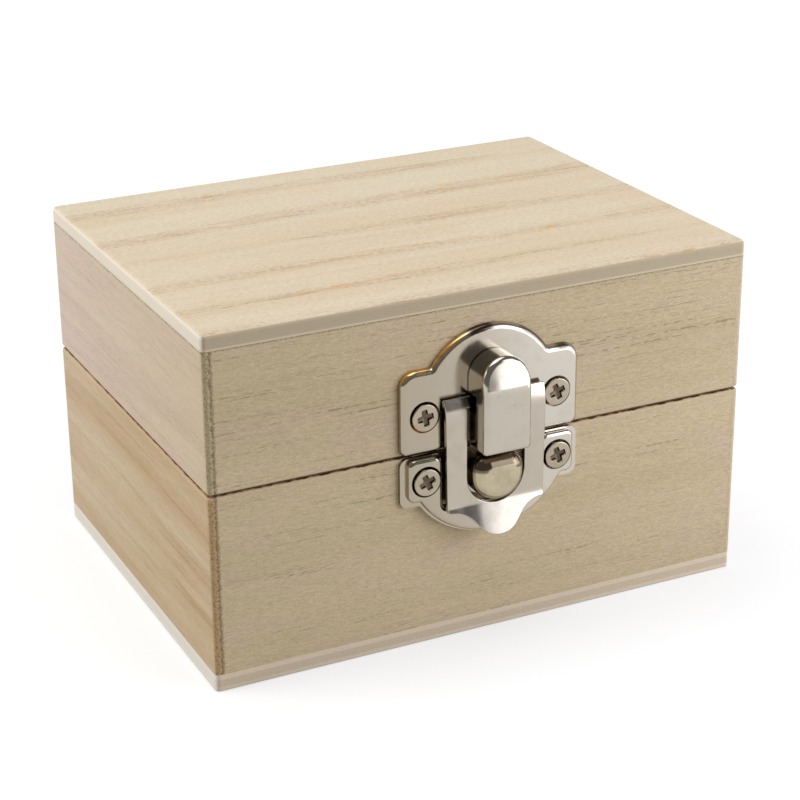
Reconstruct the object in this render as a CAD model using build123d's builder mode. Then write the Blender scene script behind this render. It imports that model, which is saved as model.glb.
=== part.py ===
"""Hinged wooden gift box, closed by a pressed metal hasp latch.

Millimetres. The origin is the centre of the face that the box stands on,
+Z is up and -Y is the side with the latch.
"""

import math
import os

from build123d import *

# Box: outer size, boards and the seam between base and lid
box_width = 80.0
box_depth = 60.0
box_height = 50.0
base_height = 28.0
seam_gap = 0.3
wall = 5.0
bottom_thickness = 2.5
top_thickness = 2.2
lip = 1.1
corner_radius = 0.7
top_edge_radius = 0.6
bottom_edge_radius = 0.3
seam_edge_radius = 0.4
largest_round = 0.8

# Rear hinges
hinge_inset = 19.0
hinge_width = 16.0
leaf_length = 8.5
leaf_thickness = 0.6
leaf_corner_radius = 1.2
barrel_radius = 1.2
knuckle_count = 3
knuckle_gap = 0.15
hinge_pin_radius = 0.6
running_fit = 0.03
pin_head_radius = 0.95
pin_head_height = 0.3
pin_head_round = 0.2

# Screws; depths leave some wood in front of each point
hinge_screw_spacing = 9.0
hinge_screw_offset = 5.2
hinge_head_radius = 1.5
hinge_head_stand = 0.1
hinge_shank_radius = 0.8
latch_screw_spacing = 19.7
latch_head_radius = 1.9
latch_head_rim = 0.25
latch_head_stand = 0.35
latch_shank_radius = 1.0
latch_seat_radius = 2.2
latch_boss_wall = 0.3
head_edge_radius = 0.12
head_clearance = 0.1
screw_point_height = 0.9
screw_point_radius = 0.15
wood_past_point = 0.8
pilot_clearance = 0.05

# Latch plates; rises and drops are measured from the middle of the seam
sheet = 0.5
plate_width = 26.6
plate_corner_radius = 1.2
plate_notch_radius = 0.5
upper_plate_rise = 0.2
upper_screw_rise = 5.55
ear_rise = 12.05
ear_radius = 2.3
arch_radius = 10.2
arch_rise = 16.8
upper_plate_stand = 1.0
upper_rim_radius = 0.85
lower_plate_drop = 0.15
lower_screw_drop = 3.5
lower_ear_drop = 7.25
bowl_radius = 12.6
bowl_drop = 12.75
ear_flange = 0.85
top_flange = 0.1
bowl_flange = 0.3
pad_stand = 1.5
pad_corner_radius = 1.1
pad_edge_radius = 0.6
channel_width = 14.8
channel_drop = 8.05
channel_radius = 1.0

# Hasp, pressed from one sheet as a closed frame with a flared lip
hasp_sheet = 0.6
hasp_width = 15.0
hasp_taper = 0.3
hasp_stand = 2.45
hasp_top_bend = 26.0
hasp_top_bend_length = 3.0
hasp_lip_bend = 21.0
hasp_lip_radius = 3.0
hasp_lip_drop = 7.1
hasp_corner_drop = 8.5
hasp_corner_radius = 0.4
hasp_tip_drop = 12.2
hasp_shoulder_x = 3.9
hasp_shoulder_drop = 9.7
hasp_trim = 0.6
hasp_edge_radius = 0.15
window_low_drop = 7.95
bar_width = 1.65
pivot_rise = 6.8
pivot_clearance = 0.1

# Hood, a drawn cup that holds the top bar of the hasp
hood_sheet = 0.6
hood_width = 7.1
hood_rise = 0.3
hood_height = 13.25
hood_stand = 5.8
hood_flat = 8.35
hood_bend_radius = 4.0
hood_bend_angle = 12.0
hood_corner_radius = 0.6
hood_edge_radius = 0.75
hood_clearance = 0.75
bar_clearance = 0.2
tab_width = 1.8
tab_clearance = 0.05
hood_tab_rise = 2.8

# Catch that the window of the hasp closes over
catch_clearance = 0.55
catch_play = 0.5
catch_top_drop = 0.65
catch_stand = 4.3
catch_corner_radius = 2.3
catch_edge_radius = 2.0
catch_front = 1.2
catch_tab_drop = 3.4

# Places that follow from the sizes above
half_width = box_width / 2
half_depth = box_depth / 2
lid_low = base_height + seam_gap
lid_high = box_height - top_thickness
seam_z = base_height + seam_gap / 2
hinge_y = half_depth + barrel_radius
screw_depth = wall - wood_past_point
pivot_z = seam_z + pivot_rise
pivot_stand = hasp_stand - hasp_sheet / 2
pivot_radius = pivot_stand - upper_plate_stand - pivot_clearance
window_width = hood_width + 2 * hood_clearance
window_low = seam_z - window_low_drop
window_top = pivot_z + pivot_radius - bar_width
catch_width = window_width - 2 * catch_clearance
catch_low = window_low + catch_play
catch_top = seam_z - catch_top_drop

front = Plane.XZ.offset(half_depth)
back = Plane(origin=(0, half_depth, 0), x_dir=(-1, 0, 0), z_dir=(0, 1, 0))
side = Plane(origin=(0, -half_depth, 0), x_dir=(0, -1, 0), z_dir=(-1, 0, 0))

hinge_xs = (hinge_inset - half_width, half_width - hinge_inset)
hinge_screw_xs = [x + s * hinge_screw_spacing / 2 for x in hinge_xs for s in (-1, 1)]
base_hinge_spots = [(x, seam_z - hinge_screw_offset) for x in hinge_screw_xs]
lid_hinge_spots = [(x, seam_z + hinge_screw_offset) for x in hinge_screw_xs]
latch_screw_xs = (-latch_screw_spacing / 2, latch_screw_spacing / 2)
upper_spots = [(x, seam_z + upper_screw_rise) for x in latch_screw_xs]
lower_spots = [(x, seam_z - lower_screw_drop) for x in latch_screw_xs]
hood_tabs = [(s * (hood_width - hood_sheet) / 2, seam_z + hood_tab_rise) for s in (-1, 1)]
catch_tabs = [(s * (catch_width - sheet) / 2, seam_z - catch_tab_drop) for s in (-1, 1)]
outward = (Align.CENTER, Align.CENTER, Align.MIN)
inward = (Align.CENTER, Align.CENTER, Align.MAX)

os.makedirs("parts", exist_ok=True)


def save(builder, label):
    """Label a finished piece and write its STEP file."""
    builder.part.label = label
    export_step(builder.part, f"parts/{label}.step")


def seam_edges(builder, is_base):
    """The edges of the face of a board that meets the other half of the box."""
    return builder.faces().sort_by(Axis.Z)[-1 if is_base else 0].edges()


def side_board(end, low, high, is_base, label):
    """A side board, rebated at both ends so that only a thin lip covers the cross boards."""
    inner_lip = half_width - lip
    corner = min(corner_radius, largest_round * lip)
    with BuildPart() as board:
        with BuildSketch(Plane.XY.offset(low)):
            with Locations((end * (half_width - wall / 2), 0)):
                Rectangle(wall, box_depth)
            with Locations(*[(end * (half_width - wall), y) for y in (-half_depth, half_depth)]):
                Rectangle(2 * (wall - lip), 2 * wall, mode=Mode.SUBTRACT)
        extrude(amount=high - low)
        outermost = -1 if end > 0 else 0
        fillet(board.edges().filter_by(Axis.Z).group_by(Axis.X)[outermost], corner)
        outside = inner_lip + (lip - corner) / 4
        fillet(seam_edges(board, is_base).filter_by(lambda e: abs(e.center().X) > outside), seam_edge_radius)
    save(board, label)


def cross_board(face, low, high, is_base, shank, spots, label):
    """A front or back board, set between the lips, with pilot holes for its screws."""
    end = face.z_dir.Y
    with BuildPart() as board:
        with BuildSketch(Plane.XY.offset(low)):
            with Locations((0, end * (half_depth - wall / 2))):
                Rectangle(box_width - 2 * lip, wall)
        extrude(amount=high - low)
        outermost = -1 if end > 0 else 0
        fillet(seam_edges(board, is_base).filter_by(Axis.X).sort_by(Axis.Y)[outermost], seam_edge_radius)
        with BuildSketch(face):
            with Locations(*spots):
                Circle(shank + pilot_clearance)
        extrude(amount=-(screw_depth + pilot_clearance), mode=Mode.SUBTRACT)
    save(board, label)


for half, low, high, is_base, latch_spots, hinge_spots in (
    ("base", bottom_thickness, base_height, True, lower_spots, base_hinge_spots),
    ("lid", lid_low, lid_high, False, upper_spots, lid_hinge_spots),
):
    side_board(-1, low, high, is_base, f"{half}_left_board")
    side_board(1, low, high, is_base, f"{half}_right_board")
    cross_board(front, low, high, is_base, latch_shank_radius, latch_spots, f"{half}_front_board")
    cross_board(back, low, high, is_base, hinge_shank_radius, hinge_spots, f"{half}_back_board")

# Thin panels laid over the ends of the boards
with BuildPart() as bottom_panel:
    with BuildSketch():
        RectangleRounded(box_width, box_depth, corner_radius)
    extrude(amount=bottom_thickness)
    fillet(bottom_panel.faces().sort_by(Axis.Z)[0].edges(), bottom_edge_radius)
save(bottom_panel, "bottom_panel")

with BuildPart() as top_panel:
    with BuildSketch(Plane.XY.offset(lid_high)):
        RectangleRounded(box_width, box_depth, corner_radius)
    extrude(amount=top_thickness)
    fillet(top_panel.faces().sort_by(Axis.Z)[-1].edges(), min(top_edge_radius, 0.9 * corner_radius))
save(top_panel, "top_panel")


def hinge_leaf(x, up, knuckles, label):
    """A leaf screwed to the back, with its share of the rolled knuckles about the pin."""
    pitch = hinge_width / knuckle_count
    plate_edge = barrel_radius + knuckle_gap
    plate_length = leaf_length - plate_edge
    screw_spots = [(-x + s * hinge_screw_spacing / 2, seam_z + up * hinge_screw_offset) for s in (-1, 1)]
    with BuildPart() as leaf:
        with BuildSketch(back):
            with Locations((-x, seam_z + up * (plate_edge + plate_length / 2))):
                Rectangle(hinge_width, plate_length)
        extrude(amount=leaf_thickness)
        tips = leaf.edges().filter_by(Axis.Y).group_by(Axis.Z)[-1 if up > 0 else 0]
        fillet(tips, leaf_corner_radius)
        for knuckle in knuckles:
            with BuildSketch(Plane.YZ.offset(x + (knuckle - (knuckle_count - 1) / 2) * pitch)):
                with Locations((half_depth + leaf_thickness / 2, seam_z + up * plate_edge / 2)):
                    Rectangle(leaf_thickness, plate_edge)
                with Locations((hinge_y, seam_z)):
                    Circle(barrel_radius)
                    Circle(hinge_pin_radius + running_fit, mode=Mode.SUBTRACT)
            extrude(amount=(pitch - knuckle_gap) / 2, both=True)
        with Locations(back):
            with Locations(*screw_spots):
                Cone(hinge_shank_radius + pilot_clearance, hinge_head_radius + pilot_clearance,
                     leaf_thickness, align=outward, mode=Mode.SUBTRACT)
    save(leaf, label)


def hinge_pin(x, label):
    """The pin through the knuckles, headed at both ends."""
    with BuildPart() as pin:
        with BuildSketch(Plane.YZ.offset(x)):
            with Locations((hinge_y, seam_z)):
                Circle(hinge_pin_radius)
        extrude(amount=hinge_width / 2, both=True)
        for end in (-1, 1):
            with BuildSketch(Plane.YZ.offset(x + end * hinge_width / 2)):
                with Locations((hinge_y, seam_z)):
                    Circle(pin_head_radius)
            extrude(amount=end * pin_head_height)
        ends = pin.faces().filter_by(Axis.X).sort_by(Axis.X)
        fillet([ends[0].edge(), ends[-1].edge()], pin_head_round)
    save(pin, label)


for name, x in zip(("left", "right"), hinge_xs):
    hinge_leaf(x, -1, (0, 2), f"{name}_hinge_base_leaf")
    hinge_leaf(x, 1, (1,), f"{name}_hinge_lid_leaf")
    hinge_pin(x, f"{name}_hinge_pin")


def screw_group(face, spots, shank, head_radius, cone_height, rim_height, label):
    """Countersunk screws driven square to a face."""
    shank_length = screw_depth - screw_point_height
    with BuildPart(face) as screws:
        with Locations(*spots):
            Cylinder(shank, shank_length, align=inward)
            Cone(shank, head_radius, cone_height, align=outward)
        with Locations(*[(x, z, cone_height) for x, z in spots]):
            Cylinder(head_radius, rim_height, align=outward)
        with Locations(*[(x, z, -shank_length) for x, z in spots]):
            Cone(screw_point_radius, shank, screw_point_height, align=inward)
        outermost = 0 if face.z_dir.Y < 0 else -1
        crowns = screws.faces().filter_by(GeomType.PLANE).group_by(Axis.Y)[outermost]
        fillet(crowns.edges(), min(head_edge_radius, largest_round * rim_height))
    save(screws, label)


for half, latch_spots, hinge_spots, stand in (
    ("lower", lower_spots, base_hinge_spots, pad_stand),
    ("upper", upper_spots, lid_hinge_spots, upper_plate_stand),
):
    cone_height = stand + latch_head_stand - latch_head_rim
    screw_group(front, latch_spots, latch_shank_radius, latch_head_radius, cone_height, latch_head_rim,
                f"latch_{half}_screws")
    screw_group(back, hinge_spots, hinge_shank_radius, hinge_head_radius, leaf_thickness, hinge_head_stand,
                f"hinge_{half}_screws")


def cut_seats(spots, stand):
    """Cut the countersunk seats of the latch screws out of the plate being built."""
    with Locations(front):
        with Locations(*spots):
            Cone(latch_shank_radius + head_clearance, latch_seat_radius, stand,
                 align=outward, mode=Mode.SUBTRACT)


def tab_shapes(spots, thickness, clearance):
    """Outlines of the staked tabs of a drawn cup, or of their slots."""
    with Locations(*spots):
        Rectangle(thickness + 2 * clearance, tab_width + 2 * clearance)


def upper_plate_outline(sketch):
    """Two square ears with a round arch between them."""
    low = seam_z + upper_plate_rise
    ear_top = seam_z + ear_rise
    with Locations((0, seam_z + arch_rise - arch_radius)):
        Circle(arch_radius)
    with Locations((0, low)):
        Rectangle(plate_width, 2 * arch_radius, align=(Align.CENTER, Align.MAX), mode=Mode.SUBTRACT)
        Rectangle(plate_width, ear_top - low, align=(Align.CENTER, Align.MIN))
    notches = sketch.vertices().filter_by(lambda v: abs(v.X) < plate_width / 2 - ear_radius)
    fillet(notches.group_by(Axis.Y)[-1], plate_notch_radius)
    corners = sketch.vertices().filter_by(lambda v: abs(v.X) > plate_width / 2 - ear_radius)
    fillet(corners.group_by(Axis.Y)[-1], ear_radius)
    corners = sketch.vertices().filter_by(lambda v: abs(v.X) > plate_width / 2 - ear_radius)
    fillet(corners.group_by(Axis.Y)[0], plate_corner_radius)


# Upper plate, a shallow pressed pan with a rounded rim
with BuildPart() as upper_plate:
    with BuildSketch(front) as outline:
        upper_plate_outline(outline)
    extrude(amount=upper_plate_stand)
    fillet(upper_plate.faces().sort_by(Axis.Y)[0].edges(), upper_rim_radius)
    with BuildSketch(front) as hollow:
        upper_plate_outline(hollow)
        offset(amount=-sheet)
        with Locations(*upper_spots):
            Circle(latch_seat_radius + latch_boss_wall, mode=Mode.SUBTRACT)
    extrude(amount=upper_plate_stand - sheet, mode=Mode.SUBTRACT)
    cut_seats(upper_spots, upper_plate_stand)
    with BuildSketch(front):
        tab_shapes(hood_tabs, hood_sheet, tab_clearance)
    extrude(amount=upper_plate_stand, mode=Mode.SUBTRACT)
save(upper_plate, "latch_upper_plate")


def lower_plate_outline(sketch, top_inset, ear_inset, bowl_inset, corner):
    """Two square ears joined by a bowl-shaped lower edge, drawn inside the plate's edge by the insets."""
    ear_height = lower_ear_drop - lower_plate_drop - top_inset - ear_inset
    with Locations((0, seam_z - bowl_drop + bowl_radius)):
        Circle(bowl_radius - bowl_inset)
    with Locations((0, seam_z - lower_ear_drop + ear_inset)):
        Rectangle(plate_width, 2 * bowl_radius, align=(Align.CENTER, Align.MIN), mode=Mode.SUBTRACT)
        Rectangle(plate_width - 2 * ear_inset, ear_height, align=(Align.CENTER, Align.MIN))
    fillet(sketch.vertices().group_by(lambda v: abs(v.X))[-1], corner)
    fillet(sketch.vertices().group_by(lambda v: abs(v.X))[0], plate_notch_radius)


def lower_pads(sketch, inset):
    """The raised field of the lower plate, open in the middle for the legs of the hasp."""
    lower_plate_outline(sketch, top_flange + inset, ear_flange + inset, bowl_flange + inset, pad_corner_radius)
    with Locations((0, seam_z - channel_drop - inset)):
        RectangleRounded(channel_width + 2 * inset, 2 * channel_drop, channel_radius + inset,
                         align=(Align.CENTER, Align.MIN), mode=Mode.SUBTRACT)
    top_corners = sketch.vertices().group_by(Axis.Y)[-1]
    fillet(top_corners.group_by(lambda v: abs(v.X))[0], pad_corner_radius)


# Lower plate, a flat flange with a raised field round the screws
with BuildPart() as lower_plate:
    with BuildSketch(front) as outline:
        lower_plate_outline(outline, 0, 0, 0, plate_corner_radius)
    extrude(amount=sheet)
    with BuildSketch(front.offset(sheet)) as pads:
        lower_pads(pads, 0)
    extrude(amount=pad_stand - sheet)
    fillet(lower_plate.faces().sort_by(Axis.Y)[0].edges(), pad_edge_radius)
    with BuildSketch(front) as hollow:
        lower_pads(hollow, sheet)
        with Locations(*lower_spots):
            Circle(latch_seat_radius + latch_boss_wall, mode=Mode.SUBTRACT)
    extrude(amount=pad_stand - sheet, mode=Mode.SUBTRACT)
    cut_seats(lower_spots, pad_stand)
    with BuildSketch(front):
        tab_shapes(catch_tabs, sheet, tab_clearance)
    extrude(amount=sheet, mode=Mode.SUBTRACT)
save(lower_plate, "latch_lower_plate")


def catch_outline(inset):
    """A flat-topped tongue with a round lower end."""
    radius = catch_width / 2
    with Locations((0, catch_low + radius)):
        Circle(radius - inset)
        Rectangle(catch_width, catch_width, align=(Align.CENTER, Align.MIN), mode=Mode.SUBTRACT)
        Rectangle(2 * (radius - inset), catch_top - catch_low - radius - inset,
                  align=(Align.CENTER, Align.MIN))


# Catch, a drawn cup staked through the lower plate
with BuildPart() as catch:
    with BuildSketch(front.offset(sheet)) as outline:
        catch_outline(0)
        fillet(outline.vertices().group_by(Axis.Y)[-1], catch_corner_radius)
    extrude(amount=catch_stand - sheet)
    fillet(catch.faces().sort_by(Axis.Y)[0].edges(), catch_edge_radius)
    with BuildSketch(front.offset(sheet)) as hollow:
        catch_outline(sheet)
        fillet(hollow.vertices().group_by(Axis.Y)[-1], catch_corner_radius - sheet)
    extrude(amount=catch_stand - sheet - catch_front, mode=Mode.SUBTRACT)
    with BuildSketch(front):
        tab_shapes(catch_tabs, sheet, 0)
    extrude(amount=sheet)
save(catch, "latch_catch")


def hood_outline(inset):
    """A tombstone: flat lower end and a half-round top."""
    low = seam_z + hood_rise
    radius = hood_width / 2
    with Locations((0, low + hood_height - radius)):
        Circle(radius - inset)
    with Locations((0, low + inset)):
        Rectangle(2 * (radius - inset), hood_height - radius - inset, align=(Align.CENTER, Align.MIN))


def hood_front(inset):
    """The side view of the space before the hood, whose front is flat below and bends back above."""
    stand = hood_stand - inset
    low = seam_z + hood_rise - hood_sheet
    clear_of_hood = 2 * hood_stand
    with BuildLine() as boundary:
        flat = Line((stand, low), (stand, seam_z + hood_rise + hood_flat))
        bend = JernArc(flat @ 1, flat % 1, hood_bend_radius - inset, hood_bend_angle)
        slope = PolarLine(bend @ 1, hood_height, direction=bend % 1)
        Polyline(slope @ 1, (clear_of_hood, (slope @ 1).Y), (clear_of_hood, low), flat @ 0)
    make_face(boundary.edges())


def hood_blank(inset, corner):
    """The hood as a solid block, or the block that hollows it."""
    with BuildPart() as blank:
        with BuildSketch(front.offset(upper_plate_stand)) as outline:
            hood_outline(inset)
            fillet(outline.vertices().group_by(Axis.Y)[0], corner)
        extrude(amount=hood_stand)
        with BuildSketch(side):
            hood_front(inset)
        extrude(amount=hood_width, both=True, mode=Mode.SUBTRACT)
    return blank.part


def outer_rim(builder):
    """The edges round the faces that look to the front, without the bends between those faces."""
    looking_out = builder.faces().filter_by(lambda f: f.normal_at(f.center()).Y < -0.7)
    rims = [face.edges() for face in looking_out]
    return [e for edges in rims for e in edges if sum(e in others for others in rims) == 1]


# Hood, staked through the upper plate, with a notch in each side for the bar of the hasp
hood_solid = hood_blank(0, hood_corner_radius)
hood_core = hood_blank(hood_sheet, hood_corner_radius / 2)
with BuildPart() as hood:
    add(hood_solid)
    fillet(outer_rim(hood), hood_edge_radius)
    add(hood_core, mode=Mode.SUBTRACT)
    with BuildSketch(side):
        with Locations((upper_plate_stand, pivot_z)):
            Rectangle(2 * (pivot_stand + pivot_radius + bar_clearance - upper_plate_stand),
                      2 * (pivot_radius + bar_clearance))
    extrude(amount=hood_width, both=True, mode=Mode.SUBTRACT)
    with BuildSketch(front.offset(upper_plate_stand)):
        tab_shapes(hood_tabs, hood_sheet, 0)
    extrude(amount=-sheet)
save(hood, "latch_hood")

# Hasp, a bent strip cut to its outline, opened by a window and rounded about the pivot
hasp_top = pivot_z + pivot_radius
hasp_bend_z = hasp_top - hasp_top_bend_length
hasp_lip_z = seam_z - hasp_lip_drop
hasp_tip_z = seam_z - hasp_tip_drop
hasp_top_radius = hasp_top_bend_length / math.sin(math.radians(hasp_top_bend))
hasp_flare_angle = math.radians(hasp_lip_bend)
hasp_flare_drop = hasp_lip_z - hasp_tip_z + hasp_trim - hasp_lip_radius * math.sin(hasp_flare_angle)
hasp_flare = hasp_flare_drop / math.cos(hasp_flare_angle)
with BuildPart() as hasp:
    with BuildSketch(side):
        with BuildLine():
            face = Line((hasp_stand, hasp_lip_z), (hasp_stand, hasp_bend_z))
            face_top = JernArc(face @ 1, (0, 1), hasp_top_radius, hasp_top_bend)
            face_lip = JernArc(face @ 0, (0, -1), hasp_lip_radius, hasp_lip_bend)
            rear = Line((hasp_stand - hasp_sheet, hasp_lip_z), (hasp_stand - hasp_sheet, hasp_bend_z))
            rear_top = JernArc(rear @ 1, (0, 1), hasp_top_radius - hasp_sheet, hasp_top_bend)
            rear_lip = JernArc(rear @ 0, (0, -1), hasp_lip_radius + hasp_sheet, hasp_lip_bend)
            Line(face_top @ 1, rear_top @ 1)
            face_flare = PolarLine(face_lip @ 1, hasp_flare, direction=face_lip % 1)
            rear_flare = PolarLine(rear_lip @ 1, hasp_flare, direction=rear_lip % 1)
            Line(face_flare @ 1, rear_flare @ 1)
        make_face()
    extrude(amount=hasp_width, both=True)
    with BuildSketch(side):
        with Locations((pivot_stand, pivot_z)):
            Rectangle(4 * pivot_radius, 2 * pivot_radius, align=(Align.CENTER, Align.MIN))
            Circle(pivot_radius, mode=Mode.SUBTRACT)
    extrude(amount=hasp_width, both=True, mode=Mode.SUBTRACT)
    with BuildSketch(front) as outline:
        with BuildLine():
            edge = Polyline((0, hasp_top + hasp_trim), (hasp_width / 2, hasp_top + hasp_trim),
                            (hasp_width / 2 - hasp_taper, seam_z - hasp_corner_drop))
            Spline(edge @ 1, (hasp_shoulder_x, seam_z - hasp_shoulder_drop), (0, hasp_tip_z),
                   tangents=((-1, 0), (-1, 0)))
            mirror(about=Plane.YZ)
        make_face()
        corners = outline.vertices().filter_by(lambda v: abs(v.X) > hasp_width / 4).group_by(Axis.Y)[0]
        fillet(corners, hasp_corner_radius)
        with Locations((0, window_low + window_width / 2)):
            Circle(window_width / 2, mode=Mode.SUBTRACT)
            Rectangle(window_width, window_top - window_low - window_width / 2,
                      align=(Align.CENTER, Align.MIN), mode=Mode.SUBTRACT)
    extrude(amount=2 * hood_stand, mode=Mode.INTERSECT)
    fillet(outer_rim(hasp), hasp_edge_radius)
save(hasp, "latch_hasp")
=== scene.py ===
"""Looks of a hinged paulownia gift box with a nickel hasp latch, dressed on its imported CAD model.

Metres, in the CAD frame: the origin is the middle of the face that the box stands on, +Z is up and
-Y is the side with the latch. Fields whose names end in _mm are in millimetres.
"""

from __future__ import annotations

import logging
import math
from dataclasses import dataclass, replace
from enum import Enum
from functools import partial
from typing import Any, Callable, NamedTuple, Union

import bpy
import numpy as np
from mathutils import Matrix, Vector


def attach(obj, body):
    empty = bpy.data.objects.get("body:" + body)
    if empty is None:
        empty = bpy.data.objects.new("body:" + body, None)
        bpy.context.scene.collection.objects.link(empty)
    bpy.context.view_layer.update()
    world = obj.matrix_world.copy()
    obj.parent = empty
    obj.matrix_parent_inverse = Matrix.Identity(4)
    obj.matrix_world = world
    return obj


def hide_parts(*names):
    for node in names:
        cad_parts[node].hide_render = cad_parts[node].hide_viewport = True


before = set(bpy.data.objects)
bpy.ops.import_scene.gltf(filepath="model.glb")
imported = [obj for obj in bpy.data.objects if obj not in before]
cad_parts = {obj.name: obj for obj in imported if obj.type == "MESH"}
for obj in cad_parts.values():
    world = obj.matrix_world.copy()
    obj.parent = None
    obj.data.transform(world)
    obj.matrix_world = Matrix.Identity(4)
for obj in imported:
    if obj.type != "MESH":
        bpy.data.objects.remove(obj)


class Kind(NamedTuple):
    """A kind of node and the settings that it is used with."""

    name: str
    settings: dict[str, str] = {}


COORDINATES = Kind("ShaderNodeTexCoord")
MAPPING = Kind("ShaderNodeMapping")
AXES = Kind("ShaderNodeSeparateXYZ")
NOISE = Kind("ShaderNodeTexNoise")
LINEAR = Kind("ShaderNodeMapRange")
SMOOTH = Kind("ShaderNodeMapRange", {"interpolation_type": "SMOOTHSTEP"})
MIX = Kind("ShaderNodeMix", {"data_type": "RGBA"})
TINT = Kind("ShaderNodeMix", {"data_type": "RGBA", "blend_type": "MULTIPLY"})
TIMES = Kind("ShaderNodeMath", {"operation": "MULTIPLY"})
TIMES_PLUS = Kind("ShaderNodeMath", {"operation": "MULTIPLY_ADD"})
MINUS = Kind("ShaderNodeMath", {"operation": "SUBTRACT"})
UNSIGNED = Kind("ShaderNodeMath", {"operation": "ABSOLUTE"})
BUMP = Kind("ShaderNodeBump")
SURFACE = Kind("ShaderNodeBsdfPrincipled")
OUTPUT = Kind("ShaderNodeOutputMaterial")
LIGHT_PATH = Kind("ShaderNodeLightPath")
# Sockets by number: the outputs of AXES, the inputs of LINEAR and SMOOTH, and those of MIX and TINT
X, Y, Z = range(3)
VALUE, FROM, TO, FIRST, LAST = range(5)
SHARE, UNDER, OVER = 0, 6, 7

MM = 0.001
WHITE = "#ffffff"
COOL_WHITE = "#eef2ff"
BOX_MIDDLE = (0.0, 0.0, 0.025)
# A mapping's scale from metres to millimetres, and a wave texture's period at a scale of one
PER_METRE = (1000.0,) * 3
WAVE_PERIOD = math.tau / 20

log = logging.getLogger("gift_box")

Node = bpy.types.Node
Source = Union[Node, bpy.types.NodeSocket]
Adder = Callable[..., Node]


def linear(code: str) -> tuple[float, float, float, float]:
    """Turns an sRGB hex colour into linear light.

    Args:
        code: six hex digits after a hash.

    Returns:
        Red, green, blue and an alpha of one.
    """
    channels = [int(code[i : i + 2], 16) / 255 for i in (1, 3, 5)]
    light = [c / 12.92 if c <= 0.04045 else ((c + 0.055) / 1.055) ** 2.4 for c in channels]
    return (light[0], light[1], light[2], 1.0)


def put(tree: bpy.types.NodeTree, kind: Kind, inputs: dict[Any, Any] | None = None) -> Node:
    """Adds one node with its settings, values and links.

    Args:
        tree: the node tree that gets the node.
        kind: the node's type and settings.
        inputs: for each input, by name or number, a value to set, a socket to link, or a node whose
            first output in use is linked.

    Returns:
        The new node.
    """
    node = tree.nodes.new(kind.name)
    for name, value in kind.settings.items():
        setattr(node, name, value)
    for key, value in (inputs or {}).items():
        usable = [s for s in node.inputs if s.enabled and s.name == key]
        socket = usable[0] if usable else node.inputs[key]
        if isinstance(value, Node):
            value = next(s for s in value.outputs if s.enabled)
        if isinstance(value, bpy.types.NodeSocket):
            tree.links.new(value, socket)
        else:
            socket.default_value = value
    return node


def new_material(name: str) -> tuple[bpy.types.Material, Adder]:
    """Makes an empty node material.

    Args:
        name: the material's name.

    Returns:
        The material and the function that adds nodes to it.
    """
    material = bpy.data.materials.new(name)
    material.use_nodes = True
    material.node_tree.nodes.clear()
    return material, partial(put, material.node_tree)


def dress(node_name: str, material: bpy.types.Material) -> None:
    """Gives a CAD node one material.

    Args:
        node_name: the CAD node.
        material: its finish.
    """
    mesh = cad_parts[node_name].data
    mesh.materials.clear()
    mesh.materials.append(material)
    log.info("dressed %s in %s", node_name, material.name)


class Grain(Enum):
    """The direction in which the fibres of a board run, as a turn about Z that brings it to X."""

    ALONG_X = 0.0
    ALONG_Y = -90.0


class Face(Enum):
    """The side of the box that a screw is driven into, as the sign of Y that points out of it."""

    FRONT = -1.0
    BACK = 1.0


class Layer(Enum):
    """The patterns along the fibres: a shift that tells their noises apart, octaves, and how far one is bent."""

    BANDS = (1.3, 2.0, 0.5)
    STRIPES = (5.1, 3.0, 0.3)
    STAINS = (9.7, 2.0, 0.6)
    PORES = (13.9, 0.0, 0.0)
    FIBRES = (21.1, 2.0, 0.0)
    DASHES = (27.7, 1.0, 0.0)
    BREAKS = (31.7, 2.0, 0.3)
    AMBERS = (41.3, 1.0, 0.4)
    YEARS = (47.9, 1.0, 0.4)


class Patch(NamedTuple):
    """The size of a pattern across and along the fibres, in millimetres."""

    width: float
    length: float


class Noise(NamedTuple):
    """A noise that is alike in all directions."""

    size_mm: float
    octaves: float
    roughness: float = 0.5

    def at(self, place: Source) -> dict[str, Any]:
        """The noise as inputs of a node, at a place in millimetres."""
        return {"Vector": place, "Scale": 1 / self.size_mm, "Detail": self.octaves, "Roughness": self.roughness}


class Ramp(NamedTuple):
    """A change from first to last while something else goes from start to stop."""

    start: float
    stop: float
    first: float = 0.0
    last: float = 1.0

    def of(self, value: Source, unit: float = 1.0, share: float = 1.0) -> dict[int, Any]:
        """The ramp as inputs of a node.

        Args:
            value: what goes from start to stop.
            unit: what start and stop are counted in.
            share: how much of the change shows.

        Returns:
            The inputs by number.
        """
        ends = {FIRST: self.first * share, LAST: self.last * share}
        return {VALUE: value, FROM: self.start * unit, TO: self.stop * unit, **ends}


class Zone(NamedTuple):
    """A stretch along X, in millimetres, and how strongly something shows there."""

    start: float
    stop: float
    share: float


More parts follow.
